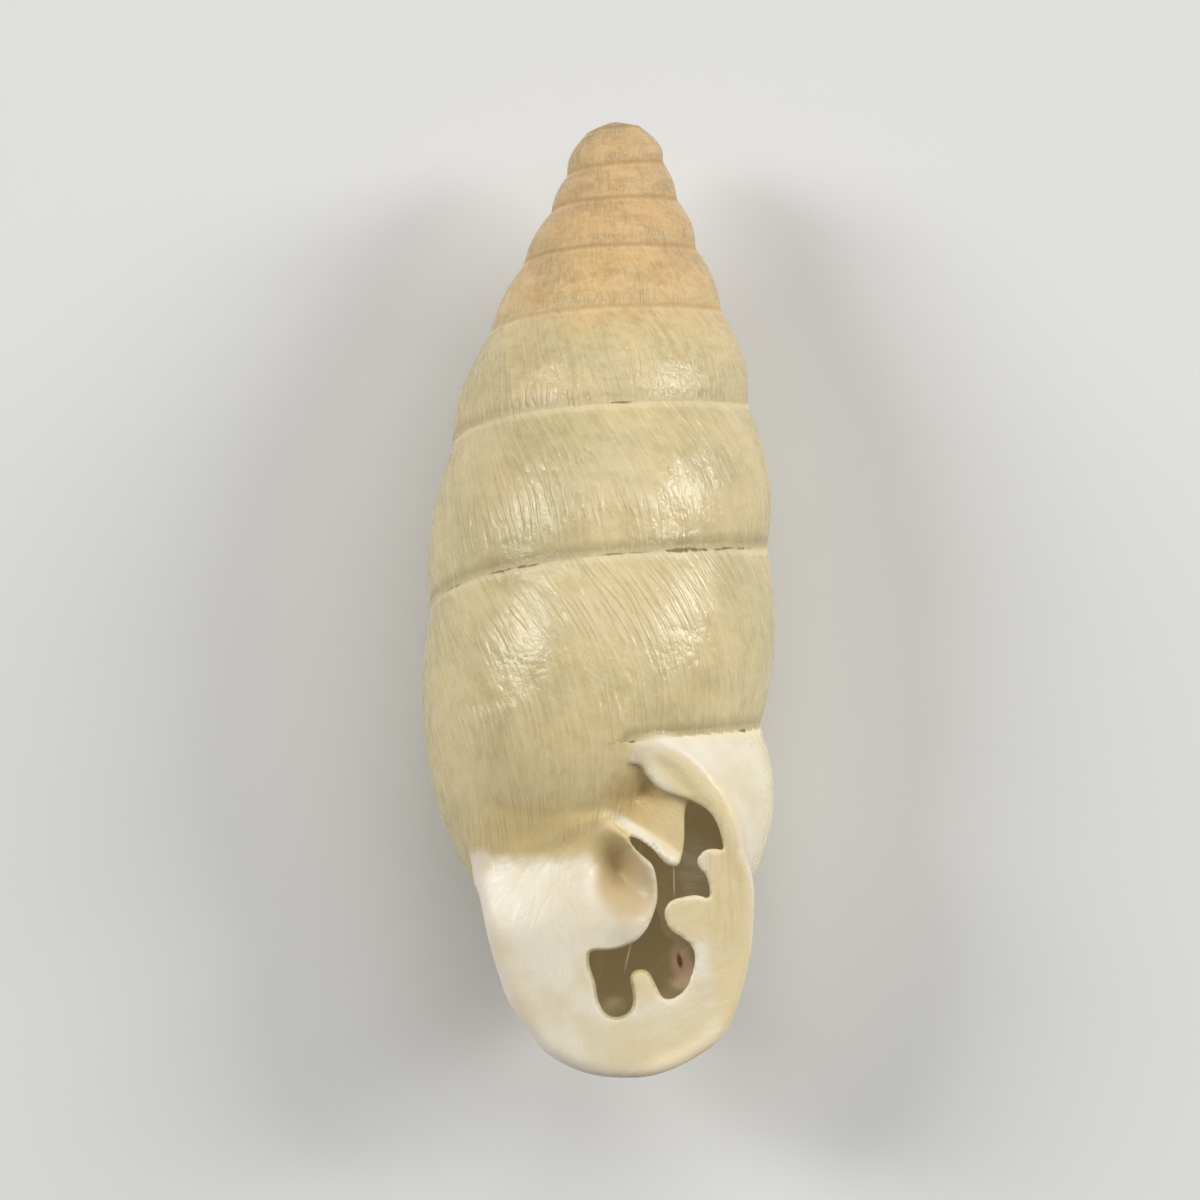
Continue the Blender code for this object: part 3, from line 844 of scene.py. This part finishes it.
shelfAreas = [
    ("gold", 0.80, (1.7, -5.9, 1.0, 1.0, 0.0, 0.3)),
    # ochre tone and painted shade in the hollow under the fold
    ("ochreHollowShade", 0.60, (0.95, -5.2, 0.75, 0.65, -0.5, 0.6)),
    ("enamel", 0.85, (1.15, -6.28, 0.95, 0.16, -0.62, 0.5)),
]
innerAreas = [
    ("innerRose", 0.80, (2.20, -9.75, 0.28, 0.55, 0.25, 0.4)),
    ("innerPale", 0.45, (0.35, -10.72, 0.22, 0.13, 0.2, 0.9)),
    ("innerPale", 0.45, (2.05, -10.22, 0.20, 0.12, -0.4, 0.9)),
    ("innerPale", 0.90, (1.97, -7.48, 0.022, 0.40, 0.02, 0.5)),
    ("innerPale", 0.90, (0.75, -9.49, 0.022, 0.37, -0.245, 0.5)),
    ("innerRed", 0.95, (2.12, -9.60, 0.07, 0.18, 0.2, 0.5)),
]

# dirt in the seams: place right and up, half length, strength
seamDirt = [
    (0.73, 11.79, 0.50, 1.6), (1.73, 9.49, 0.45, 3.0), (2.00, 7.84, 0.35, 2.5),
    (0.60, 5.33, 0.35, 0.5), (2.33, 1.28, 0.50, 1.2), (3.65, 1.41, 0.55, 0.8),
    (0.55, 1.00, 0.80, 0.4), (-2.07, 0.50, 0.85, 0.8), (-3.75, -0.10, 0.95, 0.8),
    (4.05, -3.60, 0.30, 1.3), (0.88, -3.79, 0.12, 1.2),
]


def shellMaterial(groups):
    material = bpy.data.materials.new("shellSkin")
    material.use_nodes = True
    g = Graph(material.node_tree)
    surface = material.node_tree.nodes["Principled BSDF"]
    hue = {name: tint(*value) for name, value in finish.items() if isinstance(value, tuple)}
    growth, down, turn = g.field("growth"), g.field("down"), g.field("turn")
    seam = g.field("seamGap")
    nearSeam = g.ramp(g.field("seamAway"), 0.75, 0.55)    # the gap jumps halfway between seams
    inner, mouth = g.field("innerSide"), g.field("mouthPart")
    hole, edge, ledge = g.field("holeGap"), g.field("lipGap"), g.field("ledgeGap")
    picture = g.field("picture", 1)
    split = g.node("ShaderNodeSeparateXYZ")
    g.put(split.inputs[0], picture)
    u, v = split.outputs[0], split.outputs[1]
    mouth = g.math("MULTIPLY", mouth, g.ramp(split.outputs[2], 0.9, 3.0))    # fades out behind

    lines = g.node("ShaderNodeGroup", node_tree=groups["growth"])
    clouds = g.node("ShaderNodeGroup", node_tree=groups["cloud"])
    for made in (lines, clouds):
        g.put(made.inputs["Growth"], growth)
        g.put(made.inputs["Down"], down)
    mottle, grain = clouds.outputs["Mottle"], clouds.outputs["Grain"]

    # tan at the tip, cream and slightly green lower down
    stops = finish["along"]
    ramp = g.node("ShaderNodeValToRGB")
    span = stops[-1][0] - stops[0][0]
    while len(ramp.color_ramp.elements) < len(stops):
        ramp.color_ramp.elements.new(0.5)
    for element, (place, colour) in zip(ramp.color_ramp.elements, stops):
        element.position = (place - stops[0][0]) / span
    for element, (place, colour) in zip(ramp.color_ramp.elements, stops):
        element.color = tint(*colour)
    g.put(ramp.inputs[0], g.ramp(v, stops[0][0], stops[-1][0], smooth=False))
    colour = ramp.outputs[0]
    thinAmount = g.math("MULTIPLY", clouds.outputs["Patches"], g.ramp(v, 7.9, 6.9, 0.08, 0.65))
    colour = g.mix(thinAmount, colour, hue["thin"])
    deepAmount = g.math("MULTIPLY", g.ramp(mottle, 0.6, 0.0), g.ramp(v, 4.0, 8.0, 0.1, 0.2))
    colour = g.mix(deepAmount, colour, hue["deep"])
    tan = g.math("MULTIPLY", clouds.outputs["Patches"], g.ramp(v, 7.0, 8.2, 0.0, 0.4))
    colour = g.mix(tan, colour, hue["deep"])
    colour = g.mix(g.math("MULTIPLY", mottle, 0.22), colour, hue["pale"])
    colour = g.mix(g.ramp(grain, 0.35, 0.7, 0.0, 0.12), colour, hue["pale"])
    colour = g.mix(g.math("MULTIPLY", lines.outputs["Streaks"], 0.16), colour, hue["pale"])

    # a pale line just below each seam, and a whiter last whorl
    seamLine = g.math("MULTIPLY", g.ramp(seam, 0.30, 0.04), g.ramp(seam, -0.03, 0.02))
    seamLine = g.math("MULTIPLY", seamLine, g.ramp(v, 9.0, 6.0, 0.15, 1.0))
    seamLine = g.math("MULTIPLY", seamLine, nearSeam)
    colour = g.mix(g.math("MULTIPLY", seamLine, 0.4), colour, hue["pale"])
    lastWhite = g.math("MULTIPLY", g.ramp(turn, 6.80, 6.98), g.ramp(u, 0.9, 2.2))
    colour = g.mix(g.math("MULTIPLY", lastWhite, 0.8), colour, hue["lastWhorl"])

    def spotMask(right, up, wide, tall, turned, soft, nearest=1.5):
        spot = g.node("ShaderNodeGroup", node_tree=groups["spot"])
        g.put(spot.inputs["Picture"], picture)
        for label, value in (("Right", right), ("Up", up), ("Wide", wide), ("Tall", tall),
                             ("Turn", turned), ("Soft", soft), ("Nearest", nearest)):
            spot.inputs[label].default_value = value
        return spot.outputs[0]

    def paint(colour, areas, limit, nearest=1.5):
        for name, strength, place in areas:
            amount = g.math("MULTIPLY", spotMask(*place, nearest), strength)
            if limit is not None:
                amount = g.math("MULTIPLY", amount, limit)
            colour = g.mix(amount, colour, hue[name])
        return colour

    # the seams near the tip are tan
    tipSeam = g.math("MULTIPLY", g.ramp(g.math("ABSOLUTE", seam), 0.10, 0.02), nearSeam)
    tipSeam = g.math("MULTIPLY", tipSeam, g.ramp(v, 6.5, 8.5, 0.0, 0.5))
    colour = g.mix(tipSeam, colour, hue["deep"])

    # enamel of the lip, callus and teeth
    cloudy = g.noise(picture, 0.8, 3.0)
    enamel = g.mix(g.ramp(cloudy, 0.35, 0.7), hue["enamel"], hue["enamelShade"])
    ragged = g.math("MULTIPLY_ADD", g.noise(picture, 1.6, 3.0), 1.1, v)
    callusTop = g.math("MAXIMUM", g.ramp(ragged, -5.95, -6.65), g.ramp(u, 0.9, 1.6))
    whiteAmount = g.math("MULTIPLY", mouth, callusTop)
    colour = g.mix(whiteAmount, colour, enamel)
    rim = g.math("MULTIPLY", g.ramp(g.math("ABSOLUTE", edge), 0.35, 0.05), mouth)
    colour = g.mix(g.math("MULTIPLY", rim, 0.5), colour, hue["lilac"])
    colour = paint(colour, mouthAreas, None)

    # fine upright streaks on the right of the lip
    striae = g.noise(g.vector(g.math("MULTIPLY", u, 7.0), g.math("MULTIPLY", v, 0.45), 1.0),
                     1.0, 3.0, 0.6)
    striaeArea = spotMask(3.35, -7.3, 0.62, 1.8, 0.02, 0.35)
    colour = g.mix(g.math("MULTIPLY", striaeArea, g.ramp(striae, 0.52, 0.68, 0.0, 0.5)), colour,
                   hue["gold"])
    onShelf = g.math("MULTIPLY", g.ramp(ledge, 0.03, -0.06), g.ramp(split.outputs[2], 1.5, 2.5))
    colour = paint(colour, shelfAreas, onShelf)

    # yellow rim along the lower left of the opening
    holeEdge = g.ramp(g.math("ABSOLUTE", hole), 0.11, 0.05)
    holeEdge = g.math("MULTIPLY", holeEdge, g.ramp(v, -8.8, -9.4))
    holeEdge = g.math("MULTIPLY", holeEdge, g.ramp(u, 2.0, 1.2))
    holeEdge = g.math("MULTIPLY", holeEdge, g.ramp(split.outputs[2], 2.0, 3.0))
    colour = g.mix(g.math("MULTIPLY", holeEdge, 0.65), colour, hue["edgeYellow"])

    # inside wall, with a painted glow: emission that stands in for daylight let through by the thin
    # shell
    anyDepth = -9.0
    colour = g.mix(inner, colour, hue["innerWall"])
    colour = paint(colour, innerAreas, inner, anyDepth)
    marks = paint(hue["innerWall"], innerAreas, None, anyDepth)
    paintedGlow = g.mix(1.0, marks, hue["paintedInnerGlow"], "MULTIPLY")

    # dirt caught in the seams, thick in a few places
    lumps = g.noise(picture, 3.0, 4.0, 0.65)
    shiver = g.noise(picture, 1.3, 2.0)
    offset = g.math("SUBTRACT", seam, g.math("MULTIPLY_ADD", shiver, 0.10, -0.05))
    away = g.math("ABSOLUTE", offset)
    caked = None
    for right, up, length, strength in seamDirt:
        amount = g.math("MULTIPLY", spotMask(right, up, length, 0.5, 0.0, 0.6), strength)
        caked = amount if caked is None else g.math("MAXIMUM", caked, amount)
    caked = g.math("MULTIPLY", caked, g.ramp(lumps, 0.38, 0.60, 0.15, 1.0))
    width = g.math("MULTIPLY_ADD", caked, 0.055, 0.002)
    dirt = g.ramp(g.math("SUBTRACT", away, width), 0.02, -0.02)
    dirt = g.math("MULTIPLY", dirt, g.math("SUBTRACT", 1.0, inner))
    dirt = g.math("MULTIPLY", dirt, nearSeam)

    # and a painted grey shadow above them on the lower whorls
    paintedSeamShadow = g.ramp(g.math("ADD", seam, 0.22), 0.30, 0.0)
    paintedSeamShadow = g.math("MULTIPLY", paintedSeamShadow, g.ramp(seam, -0.5, -0.2))
    paintedSeamShadow = g.math("MULTIPLY", paintedSeamShadow, g.ramp(v, 6.0, 4.0, 0.15, 0.5))
    paintedSeamShadow = g.math("MULTIPLY", paintedSeamShadow, nearSeam)
    colour = g.mix(paintedSeamShadow, colour, hue["paintedSeamShadow"])
    colour = g.mix(g.math("MULTIPLY", dirt, g.ramp(caked, 0.05, 0.45, 0.12, 0.85)), colour,
                   hue["dirt"])
    g.put(surface.inputs["Base Color"], colour)
    # painted glow on the inside wall: emission, though the shell is no lamp
    g.put(surface.inputs["Emission Color"], g.mix(inner, (0, 0, 0, 1), paintedGlow))
    surface.inputs["Emission Strength"].default_value = 1.0

    rough = g.math("MULTIPLY_ADD", mottle, gloss["mottleRough"], gloss["rough"])
    rough = g.math("MULTIPLY_ADD", mouth, gloss["mouthRough"], rough)
    crease = g.math("MULTIPLY", g.ramp(g.math("ABSOLUTE", seam), 0.20, 0.05), nearSeam)
    dull = g.math("MULTIPLY", g.math("MAXIMUM", dirt, crease), gloss["seamRough"])
    rough = g.math("ADD", rough, dull)
    g.put(surface.inputs["Roughness"], rough)
    surface.inputs["Subsurface Weight"].default_value = gloss["underSkin"]
    surface.inputs["Subsurface Radius"].default_value = (1.0, 0.75, 0.45)
    surface.inputs["Subsurface Scale"].default_value = gloss["underReach"]
    surface.inputs["IOR"].default_value = gloss["refraction"]

    # growth lines stand out on the whorls alone, grain everywhere
    outer = g.math("SUBTRACT", 1.0, g.math("MAXIMUM", mouth, inner))
    outer = g.math("MULTIPLY", outer, g.math("MULTIPLY_ADD", lastWhite, -0.8, 1.0))
    height = g.math("MULTIPLY", lines.outputs["Height"], g.math("MULTIPLY_ADD", outer, 0.95, 0.05))
    height = g.math("MULTIPLY_ADD", g.math("MULTIPLY", striaeArea, striae), 3.0, height)
    height = g.math("MULTIPLY_ADD", mottle, 0.55, height)
    height = g.math("MULTIPLY_ADD", grain, 0.12, height)
    bumpNode = g.node("ShaderNodeBump")
    bumpNode.inputs["Strength"].default_value = 1.0
    bumpNode.inputs["Distance"].default_value = gloss["relief"]
    g.put(bumpNode.inputs["Height"], height)
    g.put(surface.inputs["Normal"], bumpNode.outputs[0])
    return material


# ---- shell ----

groups = {"growth": growthGroup(), "cloud": cloudGroup(), "spot": spotGroup()}
shell = buildShell()
shell.data.materials.append(shellMaterial(groups))
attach(shell, "root")
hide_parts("shell")
print("shell built")


# ---- floor, light and camera ----

studio = {
    "floorColour": (222, 222, 220),
    "floorHalf": 3.0,
    "worldLight": 0.11,
    "lights": [              # name, place, size and power
        ("windowLeft", (-0.21, 0.05, 0.18), (0.07, 0.15), 0.40),
        ("windowRight", (0.23, 0.07, 0.16), (0.07, 0.15), 0.46),
        ("overhead", (0.08, 0.2, 0.45), (0.4, 0.4), 0.88),
    ],
    "lit": (0, 0, 0.005),    # where the lights point
    "photoWidth": 32.0,      # millimetres across the photograph
    "distance": 1.0,
    "sensor": 36,
}


def buildFloor():
    mesh = bpy.data.meshes.new("floor")
    half = studio["floorHalf"]
    mesh.from_pydata([(-half, -half, 0), (half, -half, 0), (half, half, 0), (-half, half, 0)],
                     [], [(0, 1, 2, 3)])
    floor = bpy.data.objects.new("floor", mesh)
    bpy.context.scene.collection.objects.link(floor)
    material = bpy.data.materials.new("paleFloor")
    material.use_nodes = True
    surface = material.node_tree.nodes["Principled BSDF"]
    surface.inputs["Base Color"].default_value = tint(*studio["floorColour"])
    surface.inputs["Roughness"].default_value = 0.9
    floor.data.materials.append(material)


def softbox(name, place, size, power):
    light = bpy.data.lights.new(name, "AREA")
    light.shape = "RECTANGLE"
    light.size, light.size_y = size
    light.energy = power
    item = bpy.data.objects.new(name, light)
    bpy.context.scene.collection.objects.link(item)
    item.location = place
    towards = (Vector(studio["lit"]) - item.location).to_track_quat("-Z", "Y")
    item.rotation_euler = towards.to_euler()


buildFloor()
for entry in studio["lights"]:
    softbox(*entry)

world = bpy.data.worlds.new("studioAir")
world.use_nodes = True
world.node_tree.nodes["Background"].inputs["Color"].default_value = (1, 1, 1, 1)
world.node_tree.nodes["Background"].inputs["Strength"].default_value = studio["worldLight"]
bpy.context.scene.world = world
bpy.context.scene.view_settings.view_transform = "Standard"

cameraData = bpy.data.cameras.new("photoCamera")
camera = bpy.data.objects.new("photoCamera", cameraData)
bpy.context.scene.collection.objects.link(camera)
cameraData.sensor_width = studio["sensor"]
cameraData.lens = studio["sensor"] * studio["distance"] / (studio["photoWidth"] * mm)
cameraData.clip_start = 0.05
cameraData.clip_end = 20
tilt, lean = pose["tilt"], pose["lean"]
right = Vector((cos(lean), sin(lean) * cos(tilt), sin(lean) * sin(tilt)))
upward = Vector((-sin(lean), cos(lean) * cos(tilt), cos(lean) * sin(tilt)))
toEye = Vector((0, -sin(tilt), cos(tilt)))
centre = Vector(pose["middle"]) * -mm
camera.matrix_world = Matrix.Translation(centre + toEye * studio["distance"]) @ Matrix(
    (right, upward, toEye)).transposed().to_4x4()
bpy.context.scene.camera = camera
print("camera and light set")
